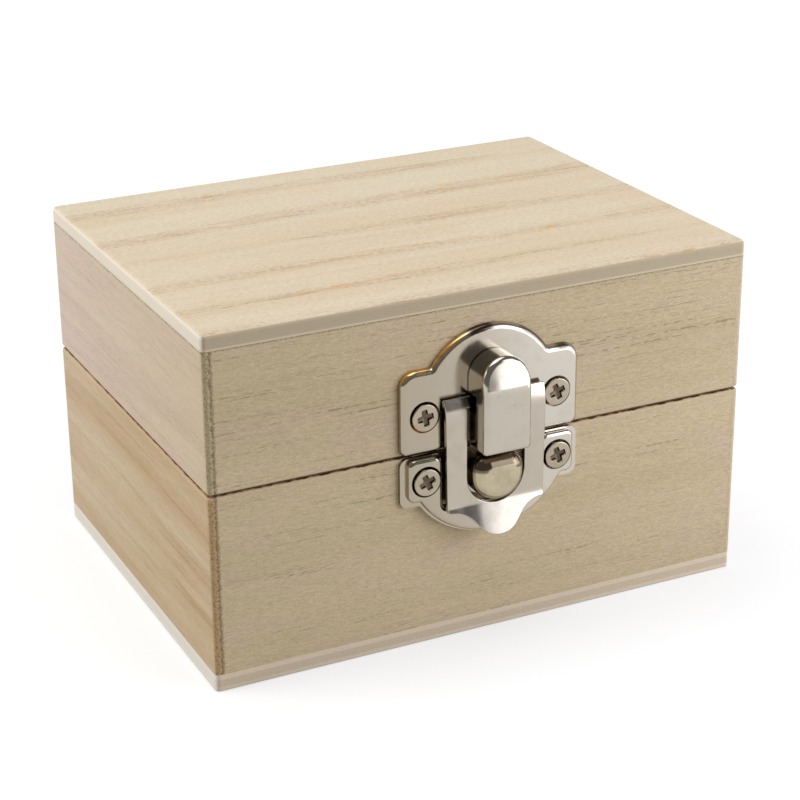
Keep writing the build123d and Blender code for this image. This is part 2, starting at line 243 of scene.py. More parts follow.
@dataclass(frozen=True)
class Paulownia:
    """Paulownia, sawn and sanded but not varnished.

    It is pale and dull, with wide faint growth bands and pinkish stains, short dark pores drawn out along
    the fibres, brown open pores where the fibres are cut across, a brown line along the sawn seam that is
    partly saw marks and partly painted shade in the gap, and ragged glue joints. A flat-cut face also has
    thin broken growth lines with amber spots.
    """

    name: str
    grain: Grain
    seed: float
    pale: str
    mid: str
    deep: str
    blush: str
    pore: str
    end: str
    end_pore: str = "#75624a"
    amber: str = "#d9a75e"
    straw: str | None = None
    lip: str = "#d9b994"
    seam_brown_and_shade: str = "#4d2d0c"
    glue: str = "#6b573d"
    seed_shift: tuple[float, float, float] = (37.1, 11.7, 23.3)
    streak_roughness: float = 0.55
    # Growth bands, darker stripes in them, stains, and a straw tint that grows along Y
    band_mm: float = 7.0
    band_length_mm: float = 90.0
    band_ramp: Ramp = Ramp(0.33, 0.67)
    stripes_in_band: float = 4.0
    stripes_in_length: float = 1.5
    deep_ramp: Ramp = Ramp(0.5, 0.75)
    deep_share: float = 0.3
    blush_mm: float = 7.0
    blush_stretch: float = 2.5
    blush_ramp: Ramp = Ramp(0.5, 0.75)
    blush_share: float = 0.35
    straw_mm: Ramp = Ramp(30.0, -30.0)
    # Growth lines with a wide faint band round each: how they run, where they break, and their amber spots
    ring_mm: float = 7.0
    ring_share: float = 0.0
    ring_stretch: float = 0.07
    ring_tilt: float = 0.5
    ring_warp: float = 8.5
    ring_octaves: float = 2.0
    ring_detail: float = 1.4
    ring_roughness: float = 0.6
    line_ramp: Ramp = Ramp(0.84, 1.0)
    late_ramp: Ramp = Ramp(0.4, 1.0)
    late_share: float = 0.1
    breaks: Patch = Patch(1.2, 14.0)
    break_ramp: Ramp = Ramp(0.42, 0.62)
    years: Patch = Patch(5.0, 55.0)
    year_ramp: Ramp = Ramp(0.36, 0.56, first=0.35)
    ambers: Patch = Patch(1.1, 4.0)
    amber_ramp: Ramp = Ramp(0.64, 0.76, last=0.8)
    amber_line: Ramp = Ramp(0.0, 0.5)
    # Pores in rows that break up into dashes; few in pale wood, more in dark stripes and near growth lines
    pores: Patch = Patch(0.14, 14.0)
    pore_ramp: Ramp = Ramp(0.63, 0.73)
    pore_share: float = 0.45
    dashes: Patch = Patch(0.3, 0.9)
    dash_ramp: Ramp = Ramp(0.42, 0.58)
    crowd_ramp: Ramp = Ramp(0.42, 0.6, first=0.2)
    ring_crowd_ramp: Ramp = Ramp(0.3, 0.9, first=0.12)
    # Fibres and sanding marks, which lighten and darken the wood; real ones are about 0.03 and 0.1 mm wide,
    # finer than a pixel, and are drawn coarser so that they show
    fibres: Patch = Patch(0.2, 0.8)
    fibre_ramp: Ramp = Ramp(0.25, 0.75, 0.88, 1.12)
    grit: Noise = Noise(0.3, 3.0, 0.65)
    grit_ramp: Ramp = Ramp(0.3, 0.7, 0.92, 1.08)
    # Cut ends, by how squarely the surface faces along the fibres, and the open pores there
    end_ramp: Ramp = Ramp(0.35, 0.6)
    hole_ramp: Ramp = Ramp(0.45, 0.65, last=0.6)
    # The seam: a brown line on the outer skin of its edges, partly saw marks and partly painted shade in the gap,
    # and a faint lip, both of uneven width
    seam_z_mm: float = 28.15
    seam_mm: Ramp = Ramp(-0.07, 0.03, 1.0, 0.0)
    seam_share: float = 1.0
    skin_mm: Ramp = Ramp(0.3, 1.0, 1.0, 0.0)
    half_box_mm: tuple[float, float] = (40.0, 30.0)
    lip_mm: Ramp = Ramp(0.0, 0.5, 0.45, 0.0)
    wander: Noise = Noise(1.6, 3.0, 0.6)
    wander_mm: float = 0.4
    # Glue joints, where they show
    joint_x_mm: float | None = None
    joint_z_mm: float | None = None
    joint_mm: Ramp = Ramp(-0.65, -0.35, 0.6, 0.0)
    joint_wander_mm: float = 1.3
    # The relief, with sunk pores and coarse ends, and the dull gloss
    relief_mm: float = 0.07
    relief_strength: float = 0.6
    pore_relief: float = -1.2
    end_relief: float = 1.5
    roughness: float = 0.72
    ior: float = 1.5
    specular: float = 0.3

    def streaks(self, add: Adder, board: Source, layer: Layer, size: Patch) -> Node:
        """Noise drawn out along the fibres.

        Args:
            add: adds a node to the material.
            board: the place on the board, in millimetres, with the fibres along its first axis.
            layer: the pattern that the noise is for.
            size: how wide and long its patches are.

        Returns:
            The noise.
        """
        shift, octaves, warp = layer.value
        scale = (1 / size.length, 1 / size.width, 1 / size.width)
        spot = add(MAPPING, {"Vector": board, "Scale": scale, "Location": (shift,) * 3})
        kind = {"Detail": octaves, "Roughness": self.streak_roughness, "Distortion": warp}
        return add(NOISE, {"Vector": spot, "Scale": 1.0, **kind})

    def ground(self, add: Adder, place: Source, board: Source, stripes: Source) -> Node:
        """The wood's own colour: growth bands, darker stripes, stains and the straw tint.

        Args:
            add: adds a node to the material.
            place: the place on the object.
            board: the place on the board.
            stripes: noise of the stripes.

        Returns:
            The colour.
        """
        noise = self.streaks(add, board, Layer.BANDS, Patch(self.band_mm, self.band_length_mm))
        bands = add(SMOOTH, self.band_ramp.of(noise))
        dark = add(SMOOTH, self.deep_ramp.of(stripes, share=self.deep_share))
        noise = self.streaks(add, board, Layer.STAINS, Patch(self.blush_mm, self.blush_stretch * self.blush_mm))
        stain = add(SMOOTH, self.blush_ramp.of(noise, share=self.blush_share))
        colour = add(MIX, {SHARE: bands, UNDER: linear(self.mid), OVER: linear(self.pale)})
        colour = add(MIX, {SHARE: dark, UNDER: colour, OVER: linear(self.deep)})
        colour = add(MIX, {SHARE: stain, UNDER: colour, OVER: linear(self.blush)})
        if self.straw:
            axes = add(AXES, {"Vector": place})
            ripe = add(LINEAR, self.straw_mm.of(axes.outputs[Y], MM))
            colour = add(TINT, {SHARE: ripe, UNDER: colour, OVER: linear(self.straw)})
        return colour

    def growth_lines(self, add: Adder, board: Source) -> tuple[Node, Node]:
        """Thin wavy lines along the fibres, one for each year's growth, broken here and there.

        Args:
            add: adds a node to the material.
            board: the place on the board.

        Returns:
            One on a line and zero between them, and the same for the wide faint band round each line.
        """
        stretch, tilt = (self.ring_stretch, 1.0, 1.0), (self.ring_tilt, 0.0, 0.0)
        spot = add(MAPPING, {"Vector": board, "Scale": stretch, "Rotation": tilt})
        rings = add(
            Kind("ShaderNodeTexWave", {"wave_type": "BANDS", "bands_direction": "Y", "wave_profile": "SIN"}),
            {
                "Vector": spot, "Scale": WAVE_PERIOD / self.ring_mm, "Distortion": self.ring_warp,
                "Detail": self.ring_octaves, "Detail Scale": self.ring_detail / WAVE_PERIOD / self.ring_mm,
                "Detail Roughness": self.ring_roughness,
            },
        ).outputs["Fac"]
        line = add(SMOOTH, self.line_ramp.of(rings))
        band = add(SMOOTH, self.late_ramp.of(rings))
        whole = add(SMOOTH, self.break_ramp.of(self.streaks(add, board, Layer.BREAKS, self.breaks)))
        year = add(SMOOTH, self.year_ramp.of(self.streaks(add, board, Layer.YEARS, self.years)))
        line = add(TIMES, {0: line, 1: year})
        band = add(TIMES, {0: band, 1: year})
        return add(TIMES, {0: line, 1: whole}), band

    def flat_cut(self, add: Adder, board: Source, colour: Source) -> tuple[Node, Node]:
        """Lays growth lines with their bands and amber spots over the wood.

        Args:
            add: adds a node to the material.
            board: the place on the board.
            colour: the colour of the wood.

        Returns:
            The colour with the growth lines, and how many pores there are.
        """
        line, band = self.growth_lines(add, board)
        for part, share in ((band, self.late_share), (line, self.ring_share)):
            dark = add(TIMES, {0: part, 1: share})
            colour = add(MIX, {SHARE: dark, UNDER: colour, OVER: linear(self.deep)})
        spots = add(SMOOTH, self.amber_ramp.of(self.streaks(add, board, Layer.AMBERS, self.ambers)))
        near = add(SMOOTH, self.amber_line.of(line))
        spots = add(TIMES, {0: spots, 1: near})
        colour = add(MIX, {SHARE: spots, UNDER: colour, OVER: linear(self.amber)})
        return colour, add(SMOOTH, self.ring_crowd_ramp.of(band))

    def cut_ends(
        self, add: Adder, place: Source, facing: Source, speck: Source, colour: Source
    ) -> tuple[Node, Node]:
        """Lays the rough brown of the cut fibres over the ends of the board.

        Args:
            add: adds a node to the material.
            place: the place on the object; not used here.
            facing: the surface's direction, with the fibres along its first axis.
            speck: fine noise.
            colour: the colour of the board's sides.

        Returns:
            The colour with the ends, and how much of an end the surface is.
        """
        along = add(AXES, {"Vector": facing})
        across = add(SMOOTH, self.end_ramp.of(add(UNSIGNED, {0: along.outputs[X]})))
        holes = add(SMOOTH, self.hole_ramp.of(speck))
        rough = add(MIX, {SHARE: holes, UNDER: linear(self.end), OVER: linear(self.end_pore)})
        return add(MIX, {SHARE: across, UNDER: colour, OVER: rough}), across

    def seam_edge(self, add: Adder, place: Source, board: Source, colour: Source) -> Node:
        """Browns the sawn edges where base and lid meet, with saw marks and painted shade in the gap, and tints
        the lip beside them.

        Args:
            add: adds a node to the material.
            place: the place on the object.
            board: the place on the board.
            colour: the colour of the board.

        Returns:
            The colour with its brown edge of saw marks and painted shade.
        """
        axes = add(AXES, {"Vector": place})
        away = add(UNSIGNED, {0: add(MINUS, {0: axes.outputs[Z], 1: self.seam_z_mm * MM})})
        insides = [
            add(MINUS, {0: half_mm * MM, 1: add(UNSIGNED, {0: axes.outputs[axis]})})
            for axis, half_mm in enumerate(self.half_box_mm)
        ]
        inside = add(Kind("ShaderNodeMath", {"operation": "MINIMUM"}), {0: insides[X], 1: insides[Y]})
        skin = add(SMOOTH, self.skin_mm.of(inside, MM, self.seam_share))
        uneven = add(NOISE, self.wander.at(board))
        moved = add(TIMES_PLUS, {0: uneven, 1: -self.wander_mm * MM, 2: away})
        lip = add(SMOOTH, self.lip_mm.of(moved, MM))
        # Brown saw marks and painted shade, mostly on the faces inside the gap
        brown_and_shade = add(TIMES, {0: add(SMOOTH, self.seam_mm.of(moved, MM)), 1: skin})
        colour = add(MIX, {SHARE: lip, UNDER: colour, OVER: linear(self.lip)})
        return add(MIX, {SHARE: brown_and_shade, UNDER: colour, OVER: linear(self.seam_brown_and_shade)})

    def joint_lines(self, add: Adder, place: Source, speck: Source, colour: Source) -> Source:
        """Darkens the ragged edges of a board where glue joins it to its neighbours.

        Args:
            add: adds a node to the material.
            place: the place on the object.
            speck: fine noise.
            colour: the colour of the board.

        Returns:
            The colour with its joint lines.
        """
        axes = add(AXES, {"Vector": place})
        for axis, at_mm in ((X, self.joint_x_mm), (Z, self.joint_z_mm)):
            if at_mm is None:
                continue
            away = add(UNSIGNED, {0: add(MINUS, {0: axes.outputs[axis], 1: at_mm * MM})})
            ragged = add(TIMES_PLUS, {0: speck, 1: -self.joint_wander_mm * MM, 2: away})
            line = add(SMOOTH, self.joint_mm.of(ragged, MM))
            colour = add(MIX, {SHARE: line, UNDER: colour, OVER: linear(self.glue)})
        return colour

    def material(self) -> bpy.types.Material:
        """Builds the finish.

        Returns:
            A material on Object coordinates, in which one unit of the patterns is a millimetre.
        """
        material, add = new_material(self.name)
        coordinates = add(COORDINATES)
        place, normal = coordinates.outputs["Object"], coordinates.outputs["Normal"]
        turn = (0.0, 0.0, math.radians(self.grain.value))
        shift = tuple(self.seed * step for step in self.seed_shift)
        board = add(MAPPING, {"Vector": place, "Rotation": turn, "Scale": PER_METRE, "Location": shift})
        facing = add(Kind(MAPPING.name, {"vector_type": "NORMAL"}), {"Vector": normal, "Rotation": turn})
        stripe = Patch(self.band_mm / self.stripes_in_band, self.band_length_mm / self.stripes_in_length)
        stripes = self.streaks(add, board, Layer.STRIPES, stripe)
        fibre = self.streaks(add, board, Layer.FIBRES, self.fibres)
        speck = add(NOISE, self.grit.at(board))

        colour = self.ground(add, place, board, stripes)
        if self.ring_share:
            colour, crowd = self.flat_cut(add, board, colour)
        else:
            crowd = add(SMOOTH, self.crowd_ramp.of(stripes))
        lift = add(TIMES, {0: add(LINEAR, self.fibre_ramp.of(fibre)), 1: add(LINEAR, self.grit_ramp.of(speck))})
        colour = add(Kind("ShaderNodeVectorMath", {"operation": "SCALE"}), {0: colour, "Scale": lift})
        rows = add(SMOOTH, self.pore_ramp.of(self.streaks(add, board, Layer.PORES, self.pores)))
        noise = self.streaks(add, board, Layer.DASHES, self.dashes)
        dashes = add(SMOOTH, self.dash_ramp.of(noise, share=self.pore_share))
        dark = add(TIMES, {0: add(TIMES, {0: rows, 1: crowd}), 1: dashes})
        colour = add(MIX, {SHARE: dark, UNDER: colour, OVER: linear(self.pore)})
        colour, across = self.cut_ends(add, place, facing, speck, colour)
        colour = self.seam_edge(add, place, board, colour)
        colour = self.joint_lines(add, place, speck, colour)

        relief = add(TIMES_PLUS, {0: dark, 1: self.pore_relief, 2: fibre})
        rough = add(TIMES, {0: across, 1: speck})
        relief = add(TIMES_PLUS, {0: rough, 1: self.end_relief, 2: relief})
        depth = {"Strength": self.relief_strength, "Distance": self.relief_mm * MM}
        gloss = {"Roughness": self.roughness, "IOR": self.ior, "Specular IOR Level": self.specular}
        bump = add(BUMP, {"Height": relief, **depth})
        add(OUTPUT, {"Surface": add(SURFACE, {"Base Color": colour, "Normal": bump, **gloss})})
        return material


@dataclass(frozen=True)
class PlyPanel(Paulownia):
    """A thin three-ply panel with a paulownia face, its edges sanded smooth.

    The face is the boards' wood, flat-cut; the edges show a faint darker core between the outer plies.
    """

    edge_mm: Ramp = Ramp(0.0, 2.5)
    side_edge: str = "#f1eade"
    front_edge: str = "#e4d2b5"
    core: str = "#c7b297"
    core_share: float = 0.7
    veneer: str = "#e3d4b6"
    # Edges, by how level the surface is, and side edges, by how squarely it faces along the fibres
    level_ramp: Ramp = Ramp(0.55, 0.8, 1.0, 0.0)
    side_ramp: Ramp = Ramp(0.5, 0.8)
    # The plies, by height as a share of the thickness; the core is speckled and fainter on side edges
    core_foot: Ramp = Ramp(0.32, 0.38)
    core_head: Ramp = Ramp(0.74, 0.8, 1.0, 0.0)
    core_wander: float = 0.12
    core_speck: Ramp = Ramp(0.35, 0.7, first=0.5)
    core_side: Ramp = Ramp(0.0, 1.0, 1.0, 0.15)
    veneer_head: Ramp = Ramp(0.1, 0.16, 0.6, 0.0)
    edge_roughness: float = 0.5

    def cut_ends(
        self, add: Adder, place: Source, facing: Source, speck: Source, colour: Source
    ) -> tuple[Node, Node]:
        """Lays the plies over the edges of the panel.

        Args:
            add: adds a node to the material.
            place: the place on the object.
            facing: the surface's direction, with the fibres along its first axis.
            speck: fine noise.
            colour: the colour of the panel's faces.

        Returns:
            The colour with the edges, and how rough the surface is there.
        """
        along = add(AXES, {"Vector": facing})
        axes = add(AXES, {"Vector": place})
        edge = add(SMOOTH, self.level_ramp.of(add(UNSIGNED, {0: along.outputs[Z]})))
        side = add(SMOOTH, self.side_ramp.of(add(UNSIGNED, {0: along.outputs[X]})))
        ply = add(LINEAR, self.edge_mm.of(axes.outputs[Z], MM))
        wobble = add(TIMES_PLUS, {0: speck, 1: self.core_wander, 2: ply})
        middle = add(SMOOTH, self.core_foot.of(wobble))
        for part in (
            add(SMOOTH, self.core_head.of(wobble)),
            add(LINEAR, self.core_speck.of(speck)),
            add(LINEAR, self.core_side.of(side, share=self.core_share)),
        ):
            middle = add(TIMES, {0: middle, 1: part})
        below = add(SMOOTH, self.veneer_head.of(ply))
        plies = add(MIX, {SHARE: side, UNDER: linear(self.front_edge), OVER: linear(self.side_edge)})
        plies = add(MIX, {SHARE: middle, UNDER: plies, OVER: linear(self.core)})
        plies = add(MIX, {SHARE: below, UNDER: plies, OVER: linear(self.veneer)})
        rough = add(TIMES, {0: edge, 1: self.edge_roughness})
        return add(MIX, {SHARE: edge, UNDER: colour, OVER: plies}), rough


@dataclass(frozen=True)
class NickelPlate:
    """Pressed steel with bright nickel plating.

    It mirrors the room in a slightly warm grey, with faint waves from the press, clouded patches and a few
    tiny dark pits. A piece may also bow a little, and may carry painted shade that darkens and warms it towards
    one end, a painted gold reflection on its rim, painted dark reflections on edges that face up, painted
    shade where it meets the piece behind it, and dirt with painted shade in a screw's recess.
    """

    name: str
    tint: str
    cloud: str
    roughness: float
    # Clouds, and the gloss from clear to clouded places, as a share of the roughness
    haze: Noise = Noise(2.6, 5.0, 0.62)
    cloud_ramp: Ramp = Ramp(0.42, 0.72)
    cloud_share: float = 0.35
    gloss_ramp: Ramp = Ramp(0.3, 0.75, 0.75, 1.5)
    # Waves from the press, and the radius of a bow about Z
    wave: Noise = Noise(5.0, 1.0)
    wave_mm: float = 0.1
    wave_share: float = 0.2
    crown_mm: float | None = None
    # Painted shade along X: a darker, warmer colour towards -X, standing in for a dimmer reflection
    left_shade: str | None = None
    left_shade_mm: Ramp = Ramp(9.0, -11.0)
    # Painted gold reflection on the rim, by how squarely the surface faces along Y and how far up, by X and in
    # patches
    painted_gold_reflection: str | None = None
    gold_reflection_rim: Ramp = Ramp(0.7, 0.97, 0.75, 0.0)
    gold_reflection_rise: Ramp = Ramp(0.15, 0.5)
    gold_reflection_mm: Ramp = Ramp(-3.0, -4.4)
    gold_reflection_patch: Ramp = Ramp(0.42, 0.56, first=0.3)
    # Painted dark reflections on edges that face up, by how squarely the surface faces along Y and how far up, in
    # zones with soft ends
    painted_dark_reflection: str | None = None
    dark_reflection_rim: Ramp = Ramp(0.95, 0.998, 1.0, 0.0)
    dark_reflection_rise: Ramp = Ramp(0.02, 0.12)
    dark_reflection_zones: tuple[Zone, ...] = ()
    zone_blur_mm: float = 0.6
    # Pits in some of the clouds
    pit: str = "#4a443d"
    pits: Noise = Noise(0.5, 1.0)
    pit_ramp: Ramp = Ramp(0.74, 0.78, last=0.5)
    pit_patch: Ramp = Ramp(0.52, 0.62)
    # Painted shade along Y, where a piece meets the one behind it, and dirt with painted shade in the recess of a
    # screw
    contact_shade: str = "#2b2620"
    contact_shade_mm: Ramp | None = None
    dirt_and_shade: str | None = None
    dirt_and_shade_ramp: Ramp = Ramp(0.05, 0.5, last=0.85)

    def paint_reflections(self, add: Adder, axes: Node, facing: Node, haze: Source, colour: Source) -> Source:
        """Paints a gold reflection on the rim and dark reflections on edges that face up.

        Args:
            add: adds a node to the material.
            axes: the place on the object, by axis.
            facing: the surface's direction, by axis.
            haze: noise of the clouds.
            colour: the colour of the plating.

        Returns:
            The colour with its wear.
        """
        square = add(UNSIGNED, {0: facing.outputs[Y]})
        # Painted gold reflection: a golden colour on the rim's up-facing left part, in patches
        if self.painted_gold_reflection:
            gold_share = add(SMOOTH, self.gold_reflection_rim.of(square))
            reach = self.gold_reflection_mm.of(axes.outputs[X], MM)
            for part in (self.gold_reflection_rise.of(facing.outputs[Z]), reach, self.gold_reflection_patch.of(haze)):
                gold_share = add(TIMES, {0: gold_share, 1: add(SMOOTH, part)})
            colour = add(MIX, {SHARE: gold_share, UNDER: colour, OVER: linear(self.painted_gold_reflection)})
        # Painted dark reflections: a darker colour on up-facing rims, in the listed zones along X
        if self.painted_dark_reflection:
            upward = add(SMOOTH, self.dark_reflection_rise.of(facing.outputs[Z]))
            rim = add(TIMES, {0: add(SMOOTH, self.dark_reflection_rim.of(square)), 1: upward})
            for start, stop, share in self.dark_reflection_zones:
                head = Ramp(start - self.zone_blur_mm, start + self.zone_blur_mm, last=share)
                tail = Ramp(stop - self.zone_blur_mm, stop + self.zone_blur_mm, 1.0, 0.0)
                dark = rim
                for part in (head, tail):
                    dark = add(TIMES, {0: dark, 1: add(SMOOTH, part.of(axes.outputs[X], MM))})
                colour = add(MIX, {SHARE: dark, UNDER: colour, OVER: linear(self.painted_dark_reflection)})
        return colour

    def pits_dirt_and_shade(self, add: Adder, spot: Source, axes: Node, haze: Source, colour: Source) -> Node:
        """Lays the pits, the painted shade where the piece meets the one behind it, and the dirt with painted
        shade in a screw's recess over the plating.

        Args:
            add: adds a node to the material.
            spot: the place on the object, in millimetres.
            axes: the place on the object, by axis.
            haze: noise of the clouds.
            colour: the colour of the plating.

        Returns:
            The colour with its pits, dirt and painted shade.
        """
        pit = add(SMOOTH, self.pit_ramp.of(add(NOISE, self.pits.at(spot))))
        pit = add(TIMES, {0: pit, 1: add(SMOOTH, self.pit_patch.of(haze))})
        colour = add(MIX, {SHARE: pit, UNDER: colour, OVER: linear(self.pit)})
        # Painted shade: a dark line where the piece meets the one behind it
        if self.contact_shade_mm:
            contact_shade = add(SMOOTH, self.contact_shade_mm.of(axes.outputs[Y], MM))
            colour = add(MIX, {SHARE: contact_shade, UNDER: colour, OVER: linear(self.contact_shade)})
        # Dirt and painted shade in the cross recess, darker where deeper
        if self.dirt_and_shade:
            sunk = add(Kind("ShaderNodeAttribute", {"attribute_name": "recess"})).outputs["Fac"]
            dirt_and_shade = add(SMOOTH, self.dirt_and_shade_ramp.of(sunk))
            colour = add(MIX, {SHARE: dirt_and_shade, UNDER: colour, OVER: linear(self.dirt_and_shade)})
        return colour

    def material(self) -> bpy.types.Material:
        """Builds the finish.

        Returns:
            A material on Object coordinates.
        """
        material, add = new_material(self.name)
        coordinates = add(COORDINATES)
        place = coordinates.outputs["Object"]
        axes = add(AXES, {"Vector": place})
        facing = add(AXES, {"Vector": coordinates.outputs["Normal"]})
        spot = add(MAPPING, {"Vector": place, "Scale": PER_METRE})
        haze = add(NOISE, self.haze.at(spot))

        cloudy = add(SMOOTH, self.cloud_ramp.of(haze, share=self.cloud_share))
        colour = add(MIX, {SHARE: cloudy, UNDER: linear(self.tint), OVER: linear(self.cloud)})
        # Painted shade: darker and warmer towards -X
        if self.left_shade:
            left_shade = add(SMOOTH, self.left_shade_mm.of(axes.outputs[X], MM))
            colour = add(MIX, {SHARE: left_shade, UNDER: colour, OVER: linear(self.left_shade)})
        # Painted gold and dark reflections on the rim and on edges that face up
        colour = self.paint_reflections(add, axes, facing, haze, colour)
        colour = self.pits_dirt_and_shade(add, spot, axes, haze, colour)

        gloss = add(LINEAR, self.gloss_ramp.of(haze, share=self.roughness))
        depth = {"Strength": self.wave_share, "Distance": self.wave_mm * MM}
        bump = add(BUMP, {"Height": add(NOISE, self.wave.at(spot)), **depth})
        if self.crown_mm:
            # A circle near its top: the height falls by half the square of X over the radius
            square = add(Kind("ShaderNodeMath", {"operation": "POWER"}), {0: axes.outputs[X], 1: 2.0})
            bow = add(TIMES, {0: square, 1: -0.5 / (self.crown_mm * MM)})
            bump = add(BUMP, {"Height": bow, "Strength": 1.0, "Distance": 1.0, "Normal": bump})
        metal = {"Base Color": colour, "Metallic": 1.0, "Roughness": gloss, "Normal": bump}
        add(OUTPUT, {"Surface": add(SURFACE, metal)})
        return material


@dataclass(frozen=True)
class SoftBox:
    """One studio lamp: a soft box that faces a point, with places and size in metres."""

    name: str
    place: tuple[float, float, float]
    aim: tuple[float, float, float]
    size: tuple[float, float]
    radiance: float
    tint: str = WHITE

    def light(self) -> None:
        """Hangs the lamp; its power is the radiance times pi times its area."""
        lamp = bpy.data.lights.new(self.name, "AREA")
        lamp.shape = "RECTANGLE"
        lamp.size, lamp.size_y = self.size
        lamp.energy = self.radiance * math.pi * self.size[0] * self.size[1]
        lamp.color = linear(self.tint)[:3]
        holder = bpy.data.objects.new(self.name, lamp)
        holder.location = self.place
        holder.rotation_euler = (Vector(self.aim) - Vector(self.place)).to_track_quat("-Z", "Y").to_euler()
        bpy.context.scene.collection.objects.link(holder)


@dataclass(frozen=True)
class Studio:
    """The pale floor, the lamps, the room's light and the camera; angles in degrees, lengths in metres."""

    azimuth: float = -24.637
    elevation: float = 21.628
    roll: float = -1.034
    focal_px: float = 2120.8
    centre_px: tuple[float, float] = (352.0, 360.0)
    camera_mm: tuple[float, float, float] = (-124.09, -257.70, 142.52)
    image_px: float = 800.0
    sensor_mm: float = 36.0
    clip: tuple[float, float] = (0.01, 20.0)
    floor_side: float = 4.0
    paper: str = "#b8b8b8"
    # How bright the floor looks, near to far, and the room as a light and to the eye
    floor_glow: Ramp = Ramp(0.1, 0.6, 0.56, 0.95)
    room_light: Ramp = Ramp(0.0, 1.0, first=0.2)
    lamps: tuple[SoftBox, ...] = (
        SoftBox("lamp_above", place=(-0.1, 0.1, 0.95), aim=BOX_MIDDLE, size=(0.8, 0.8), radiance=2.9),
        SoftBox("lamp_left", place=(-0.6, 0.22, 0.26), aim=BOX_MIDDLE, size=(0.4, 0.4), radiance=4.6),
        SoftBox(
            "lamp_front", place=(0.3384, -0.4023, 0.235), aim=(0.0, -0.034, 0.235), size=(0.349, 0.45),
            radiance=2.7, tint=COOL_WHITE,
        ),
        SoftBox(
            "lamp_right", place=(0.17, -0.13, 0.06), aim=(0.0, -0.03, 0.028), size=(0.16, 0.12),
            radiance=3.05, tint=COOL_WHITE,
        ),
    )

    def build(self) -> None:
        """Sets up everything round the object."""
        self.hang_camera()
        self.lay_floor()
        self.fill_room()
        for lamp in self.lamps:
            lamp.light()
        bpy.context.scene.view_settings.view_transform = "Standard"

    def hang_camera(self) -> None:
        """Places the camera at the photograph's angle, with its roll and off-centre frame."""
        a, e, r = (math.radians(v) for v in (self.azimuth, self.elevation, self.roll))
        back = Vector((math.sin(a) * math.cos(e), -math.cos(a) * math.cos(e), math.sin(e)))
        right = (-back).cross(Vector((0.0, 0.0, 1.0))).normalized()
        up = right.cross(-back)
        turned_right = right * math.cos(r) + up * math.sin(r)
        turned_up = up * math.cos(r) - right * math.sin(r)
        camera = bpy.data.cameras.new("camera")
        camera.sensor_width = self.sensor_mm
        camera.lens = self.focal_px / self.image_px * self.sensor_mm
        camera.shift_x = (self.image_px / 2 - self.centre_px[0]) / self.image_px
        camera.shift_y = (self.centre_px[1] - self.image_px / 2) / self.image_px
        camera.clip_start, camera.clip_end = self.clip
        holder = bpy.data.objects.new("camera", camera)
        turn = Matrix((turned_right, turned_up, back)).transposed().to_4x4()
        holder.matrix_world = Matrix.Translation(Vector(self.camera_mm) * MM) @ turn
        bpy.context.scene.collection.objects.link(holder)
        bpy.context.scene.camera = holder

    def lay_floor(self) -> None:
        """Lays a flat square floor that is white to the eye and keeps the object's shadow."""
        half = self.floor_side / 2
        corners = [(-half, -half, 0), (half, -half, 0), (half, half, 0), (-half, half, 0)]
        mesh = bpy.data.meshes.new("floor")
        mesh.from_pydata(corners, [], [(0, 1, 2, 3)])
        material, add = new_material("white_paper")
        path = add(LIGHT_PATH)
        rays = {0: path.outputs["Is Camera Ray"], 1: path.outputs["Is Glossy Ray"]}
        seen = add(Kind("ShaderNodeMath", {"operation": "MAXIMUM"}), rays)
        place = add(COORDINATES).outputs["Object"]
        reach = add(Kind("ShaderNodeVectorMath", {"operation": "LENGTH"}), {0: place}).outputs["Value"]
        glow = add(TIMES, {0: seen, 1: add(SMOOTH, self.floor_glow.of(reach))})
        paper = add(Kind("ShaderNodeBsdfDiffuse"), {"Color": linear(self.paper)})
        lit = add(Kind("ShaderNodeEmission"), {"Color": linear(WHITE), "Strength": glow})
        add(OUTPUT, {"Surface": add(Kind("ShaderNodeAddShader"), {0: paper, 1: lit})})
        mesh.materials.append(material)
        floor = bpy.data.objects.new("floor", mesh)
        bpy.context.scene.collection.objects.link(floor)

    def fill_room(self) -> None:
        """Fills the room with even light, white where the eye looks straight at it."""
        world = bpy.data.worlds.new("room")
        bpy.context.scene.world = world
        world.use_nodes = True
        world.node_tree.nodes.clear()
        add = partial(put, world.node_tree)
        strength = add(LINEAR, self.room_light.of(add(LIGHT_PATH).outputs["Is Camera Ray"]))
        light = add(Kind("ShaderNodeBackground"), {"Color": linear(WHITE), "Strength": strength})
        add(Kind("ShaderNodeOutputWorld"), {"Surface": light})


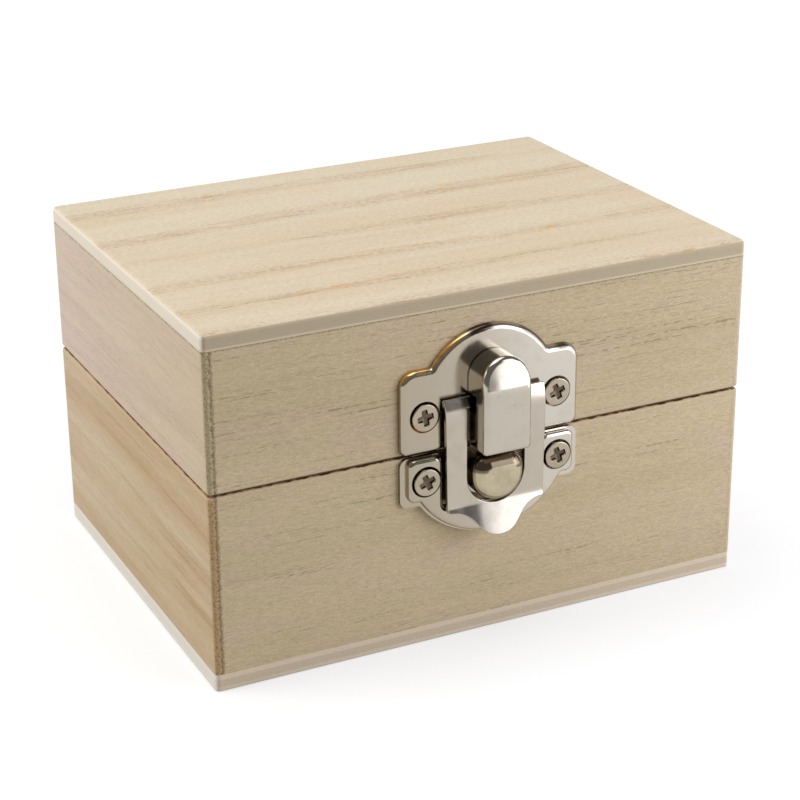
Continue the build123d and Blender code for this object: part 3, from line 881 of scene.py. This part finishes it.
@dataclass(frozen=True)
class WoodenCase:
    """The boards and thin panels of base and lid."""

    height_mm: float = 50.0
    bottom_mm: float = 2.5
    top_mm: float = 2.2
    front_joint_x_mm: float = -38.9
    side_joint_x_mm: float = -39.0
    fine_sanding: Ramp = Ramp(0.3, 0.7, 0.95, 1.05)

    def boards(self) -> dict[str, Paulownia]:
        """Chooses the cut of wood for each board.

        Returns:
            The finishes by CAD node, still without names and seeds.
        """
        lid_z_mm = self.height_mm - self.top_mm
        front = Paulownia(
            "paulownia", Grain.ALONG_X, 0.0, pale="#d1bc96", mid="#cbb790", deep="#c0ab84", blush="#d0b79f",
            pore="#66543a", end="#8f7957", blush_share=0.55, blush_mm=6.0, joint_x_mm=self.front_joint_x_mm,
        )
        base_side = Paulownia(
            "paulownia", Grain.ALONG_Y, 0.0, pale="#d6c2a6", mid="#cbb08f", deep="#b8956e", blush="#d5b69d",
            pore="#86684a", end="#c6a477", end_pore="#785e40", straw="#f8f7ec", band_mm=6.0, deep_share=0.65,
            pore_share=0.35, fibres=Patch(0.2, 2.5), fibre_ramp=Ramp(0.25, 0.75, 0.92, 1.08),
            grit_ramp=self.fine_sanding, seam_share=0.65,
        )
        lid_side = Paulownia(
            "paulownia", Grain.ALONG_Y, 0.0, pale="#decbb8", mid="#dac5b5", deep="#cfb9a6", blush="#dfc5bc",
            pore="#9b8068", end="#c0ae87", end_pore="#7b6b4f", straw="#f4f3e2", band_mm=5.0, deep_share=0.5,
            blush_share=0.6, blush_mm=11.0, pore_share=0.32, fibres=Patch(0.2, 3.0),
            fibre_ramp=Ramp(0.25, 0.75, 0.93, 1.07), grit_ramp=self.fine_sanding, seam_share=0.65,
            joint_z_mm=lid_z_mm,
        )
        return {
            "base_front_board": front,
            "base_back_board": front,
            "base_left_board": replace(base_side, joint_x_mm=self.side_joint_x_mm, straw_mm=Ramp(30.0, -5.0)),
            "base_right_board": replace(base_side, end="#d0bb97", end_pore="#b39d78"),
            "lid_front_board": replace(front, joint_z_mm=lid_z_mm),
            "lid_back_board": front,
            "lid_left_board": replace(lid_side, joint_x_mm=self.side_joint_x_mm),
            # The lid's right side: pale, mid, deep and blush are a deeper, yellower copy of the side wood, painted
            # shade that offsets the strong light of lamp_right there
            "lid_right_board": replace(
                lid_side, pale="#dac8b0", mid="#d5c2aa", deep="#cbb69c", blush="#dac3ae", end="#d2bd9c",
                end_pore="#b5a07e",
            ),
        }

    def panels(self) -> dict[str, PlyPanel]:
        """Chooses the plywood of bottom and top.

        Returns:
            The finishes by CAD node.
        """
        bottom = PlyPanel(
            "paulownia_ply_bottom", Grain.ALONG_X, 9.0, pale="#e1d3b9", mid="#deccaf", deep="#bd8f5e",
            blush="#dfc6a6", pore="#85552c", end="#cfc0a4", deep_share=0.08, ring_mm=9.5, ring_share=0.26,
            late_share=0.09, seam_share=0.0, pores=Patch(0.14, 5.0), dashes=Patch(0.3, 0.8),
            pore_ramp=Ramp(0.55, 0.67), grit_ramp=self.fine_sanding, edge_mm=Ramp(0.0, self.bottom_mm),
        )
        top = replace(
            bottom, name="paulownia_ply_top", seed=10.0, front_edge="#c0ae8f", side_edge="#f0e4d1", core="#b3a488",
            core_share=0.15, edge_mm=Ramp(self.height_mm - self.top_mm, self.height_mm),
        )
        return {"bottom_panel": bottom, "top_panel": top}

    def dress(self) -> None:
        """Gives each board and panel its own cut of the wood."""
        for seed, (node, finish) in enumerate(self.boards().items(), start=1):
            dress(node, replace(finish, name=f"paulownia_{node}", seed=float(seed)).material())
        for node, finish in self.panels().items():
            dress(node, finish.material())


@dataclass(frozen=True)
class CrossScrews:
    """Countersunk screws with a cross recess, all driven square into one face of the box.

    The fields head_mm, shank_mm, point_tip_mm and recess_mm are radii; turns are in degrees.
    """

    node: str
    body: str
    face: Face
    xs_mm: tuple[float, ...]
    z_mm: float
    turns: tuple[float, ...]
    stand_mm: float
    head_mm: float
    rim_mm: float
    shank_mm: float
    recess_mm: float
    recess_depth_mm: float
    arm_mm: float
    face_y_mm: float = 30.0
    length_mm: float = 4.2
    point_mm: float = 0.9
    point_tip_mm: float = 0.15
    edge_mm: float = 0.12
    crown_mm: float = 0.04
    # The cross: how much its arms narrow, the run of its walls and ends, and how much its floor rises
    arm_taper: float = 0.2
    wall_out_mm: float = 0.05
    wall_mm: float = 0.12
    arm_end_mm: float = 0.16
    floor_rise: float = 0.45
    columns: int = 120
    top_rows: int = 44
    edge_rows: int = 5

    def profile(self) -> tuple[np.ndarray, np.ndarray]:
        """The outline of a screw from its point to the middle of its head.

        Returns:
            Radii and heights above the wood: the point, the straight shank, the cone, the rim with a
            rounded edge, and a head that falls off with the square of the radius.
        """
        shoulder = self.stand_mm - self.rim_mm
        tip, neck = -self.length_mm, self.point_mm - self.length_mm
        bend = np.linspace(0.0, math.pi / 2, self.edge_rows + 1)[1:]
        lower_r = np.array([0.0, self.point_tip_mm, self.shank_mm, self.shank_mm, self.head_mm, self.head_mm])
        lower_h = np.array([tip, tip, neck, 0.0, shoulder, self.stand_mm - self.edge_mm])
        round_r = self.head_mm - self.edge_mm * (1 - np.cos(bend))
        round_h = self.stand_mm - self.edge_mm * (1 - np.sin(bend))
        top_r = np.linspace(self.head_mm - self.edge_mm, 0.0, self.top_rows + 1)[1:]
        top_h = np.full_like(top_r, self.stand_mm)
        r = np.concatenate([lower_r, round_r, top_r])
        h = np.concatenate([lower_h, round_h, top_h])
        over = h > shoulder
        h[over] -= self.crown_mm * (r[over] / self.head_mm) ** 2
        return r, h

    def arm(self, along: np.ndarray, beside: np.ndarray) -> np.ndarray:
        """One arm of the cross, from 0 outside it to 1 inside.

        Args:
            along: distance from the middle along the arm.
            beside: distance from the arm's middle line.

        Returns:
            A smooth step over its sides, times one over its ends.
        """
        half = 0.5 * self.arm_mm * (1.0 - self.arm_taper * along / self.recess_mm)
        sides = np.clip((half + self.wall_out_mm - beside) / self.wall_mm, 0.0, 1.0)
        ends = np.clip((self.recess_mm - along) / self.arm_end_mm, 0.0, 1.0)
        return sides * sides * (3 - 2 * sides) * ends * ends * (3 - 2 * ends)

    def recess(self, u: np.ndarray, v: np.ndarray) -> np.ndarray:
        """The depth of the cross: two arms that narrow outwards and get shallower towards their ends.

        Args:
            u: places along one arm.
            v: places along the other arm.

        Returns:
            The depth below the head's top.
        """
        a, b = np.abs(u), np.abs(v)
        cross = np.maximum(self.arm(a, b), self.arm(b, a))
        fall = 1.0 - self.floor_rise * np.clip(np.hypot(u, v) / self.recess_mm, 0.0, 1.0)
        return self.recess_depth_mm * cross * fall

    def surface(self) -> np.ndarray:
        """Turns the outline about each screw's axis and sinks the cross into the head.

        Returns:
            For each screw, row and column: X, Y and Z in millimetres, and the depth of the cross.
        """
        r, h = self.profile()
        around = np.linspace(0.0, math.tau, self.columns, endpoint=False)
        middle_x = np.array(self.xs_mm)[:, None, None]
        turns = np.radians(np.array(self.turns))[:, None, None]
        x, z = r[:, None] * np.cos(around), r[:, None] * np.sin(around)
        u = x * np.cos(turns) + z * np.sin(turns)
        v = z * np.cos(turns) - x * np.sin(turns)
        on_head = (np.arange(r.size) >= r.size - self.top_rows)[:, None]
        sunk = np.where(on_head, self.recess(u, v), 0.0)
        y = self.face.value * (self.face_y_mm + (h[:, None] - sunk))
        return np.stack(np.broadcast_arrays(x + middle_x, y, z + self.z_mm, sunk), axis=-1)

    def faces(self, rows: int) -> list[np.ndarray]:
        """Joins the rows of one screw, of which the first and the last are a single vertex.

        Args:
            rows: how many rows there are.

        Returns:
            Corners of the quads between rows, then of the triangles round the point and round the head.
        """
        column = np.arange(self.columns)
        following = (column + 1) % self.columns
        ring = 1 + self.columns * np.arange(rows - 2)[:, None]
        low, high = ring[:-1], ring[1:]
        quads = np.stack([low + column, low + following, high + following, high + column], axis=-1)
        point = np.stack([np.zeros_like(column), 1 + following, 1 + column], axis=-1)
        last = 1 + self.columns * (rows - 3)
        head = np.stack([last + column, last + following, np.full_like(column, last + self.columns)], axis=-1)
        parts = [quads.reshape(-1, 4), point, head]
        return [part[:, ::-1] for part in parts] if self.face is Face.BACK else parts

    def build(self, material: bpy.types.Material) -> None:
        """Puts the screws in the scene as one mesh that knows how deep its cross is.

        Args:
            material: the screws' finish.
        """
        grid = self.surface()
        count, rows = grid.shape[:2]
        rings = grid[:, 1:-1].reshape(count, -1, grid.shape[-1])
        points = np.concatenate([grid[:, :1, 0], rings, grid[:, -1:, 0]], axis=1)
        shift = (np.arange(count) * points.shape[1])[:, None, None]
        faces = [(part + shift).reshape(-1, part.shape[1]) for part in self.faces(rows)]
        vertices = (points[..., :3] * MM).reshape(-1, 3)
        mesh = bpy.data.meshes.new(f"{self.node}_crossed")
        mesh.from_pydata(vertices.tolist(), [], [face for part in faces for face in part.tolist()])
        mesh.polygons.foreach_set("use_smooth", np.ones(len(mesh.polygons), dtype=bool))
        recess = mesh.attributes.new("recess", "FLOAT", "POINT")
        recess.data.foreach_set("value", (points[..., 3].ravel() / self.recess_depth_mm).astype(np.float32))
        mesh.materials.append(material)
        piece = bpy.data.objects.new(mesh.name, mesh)
        bpy.context.scene.collection.objects.link(piece)
        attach(piece, self.body)
        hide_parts(self.node)
        log.info("built %s: %d screws, %d faces", piece.name, count, len(mesh.polygons))


@dataclass(frozen=True)
class Metalwork:
    """The latch, the rear hinges and their screws; heights are from the seam's middle."""

    seam_z_mm: float = 28.15
    latch_xs_mm: tuple[float, ...] = (-9.85, 9.85)
    latch_upper_rise_mm: float = 5.55
    latch_lower_drop_mm: float = 3.5
    hinge_xs_mm: tuple[float, ...] = (-25.5, -16.5, 16.5, 25.5)
    hinge_offset_mm: float = 5.2

    def dress(self) -> None:
        """Plates every metal piece."""
        # Both plates: painted shade that darkens and warms them towards -X
        sheet = NickelPlate("bright_nickel", "#c4bcb0", "#aea698", 0.16, crown_mm=130.0, left_shade="#a89e8b")
        # The upper plate: a painted gold reflection on the left of its rim and painted dark reflections along its
        # arch and shoulders
        upper = replace(
            sheet, name="bright_nickel_painted_reflections", painted_gold_reflection="#f4c274", painted_dark_reflection="#4a3d2f",
            dark_reflection_zones=(Zone(-3.2, 0.2, 0.95), Zone(4.4, 8.6, 0.7), Zone(9.9, 11.7, 0.8)),
        ).material()
        lower = sheet.material()
        # The hood: painted shade along its back edge, where it meets the upper plate
        hood = NickelPlate(
            "bright_nickel_hood", "#b8b0a2", "#aaa193", 0.12, contact_shade_mm=Ramp(-31.35, -31.1, last=0.9), crown_mm=50.0
        ).material()
        # The hasp: a painted dark reflection across the top of its left leg
        hasp = NickelPlate(
            "bright_nickel_hasp", "#b4ab9d", "#a2998a", 0.17, crown_mm=90.0, painted_dark_reflection="#453c39",
            dark_reflection_zones=(Zone(-5.0, -2.6, 0.7),),
        ).material()
        # The catch: a painted dark reflection along its top, under the hood
        catch = NickelPlate(
            "nickel_catch_painted_dark_top", "#b8ad93", "#9a8e74", 0.14, cloud_share=0.6, painted_dark_reflection="#5a4d3c",
            dark_reflection_zones=(Zone(-9.0, 9.0, 0.85),),
        ).material()
        hinge = NickelPlate("bright_nickel_hinge", "#b4ab9c", "#958b7a", 0.2, cloud_share=0.5).material()
        own = {"latch_upper_plate": upper, "latch_hood": hood, "latch_hasp": hasp, "latch_catch": catch}
        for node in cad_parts:
            if node.endswith("screws"):
                continue
            if node.startswith("latch_"):
                dress(node, own.get(node, lower))
            elif "hinge" in node:
                dress(node, hinge)

    def build_screws(self) -> None:
        """Builds the four groups of screws with their cross recesses."""
        # Screws: dirt and painted shade in the cross recesses, darker where deeper
        steel = NickelPlate(
            "plated_screw_steel", "#aa9f8c", "#92876f", 0.22, wave_share=0.1, dirt_and_shade="#463829"
        ).material()
        latch = partial(
            CrossScrews, face=Face.FRONT, xs_mm=self.latch_xs_mm, head_mm=1.9, rim_mm=0.25, shank_mm=1.0,
            recess_mm=1.2, recess_depth_mm=0.6, arm_mm=0.9,
        )
        hinge = partial(
            CrossScrews, face=Face.BACK, xs_mm=self.hinge_xs_mm, stand_mm=0.7, head_mm=1.5, rim_mm=0.1,
            shank_mm=0.8, recess_mm=0.95, recess_depth_mm=0.4, arm_mm=0.6, edge_mm=0.09, columns=64, top_rows=26,
        )
        upper, lower = self.seam_z_mm + self.latch_upper_rise_mm, self.seam_z_mm - self.latch_lower_drop_mm
        leaf_upper, leaf_lower = self.seam_z_mm + self.hinge_offset_mm, self.seam_z_mm - self.hinge_offset_mm
        for screws in (
            latch("latch_upper_screws", "lid", z_mm=upper, turns=(10.0, 22.0), stand_mm=1.35),
            latch("latch_lower_screws", "base", z_mm=lower, turns=(24.0, 18.0), stand_mm=1.85),
            hinge("hinge_upper_screws", "lid", z_mm=leaf_upper, turns=(5.0, 40.0, 71.0, 28.0)),
            hinge("hinge_lower_screws", "base", z_mm=leaf_lower, turns=(33.0, 12.0, 55.0, 80.0)),
        ):
            screws.build(steel)


def main() -> None:
    """Builds the looks piece by piece."""
    logging.basicConfig(level=logging.INFO, format="%(message)s")
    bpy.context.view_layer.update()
    Studio().build()
    WoodenCase().dress()
    metalwork = Metalwork()
    metalwork.dress()
    metalwork.build_screws()


if __name__ == "__main__":
    main()
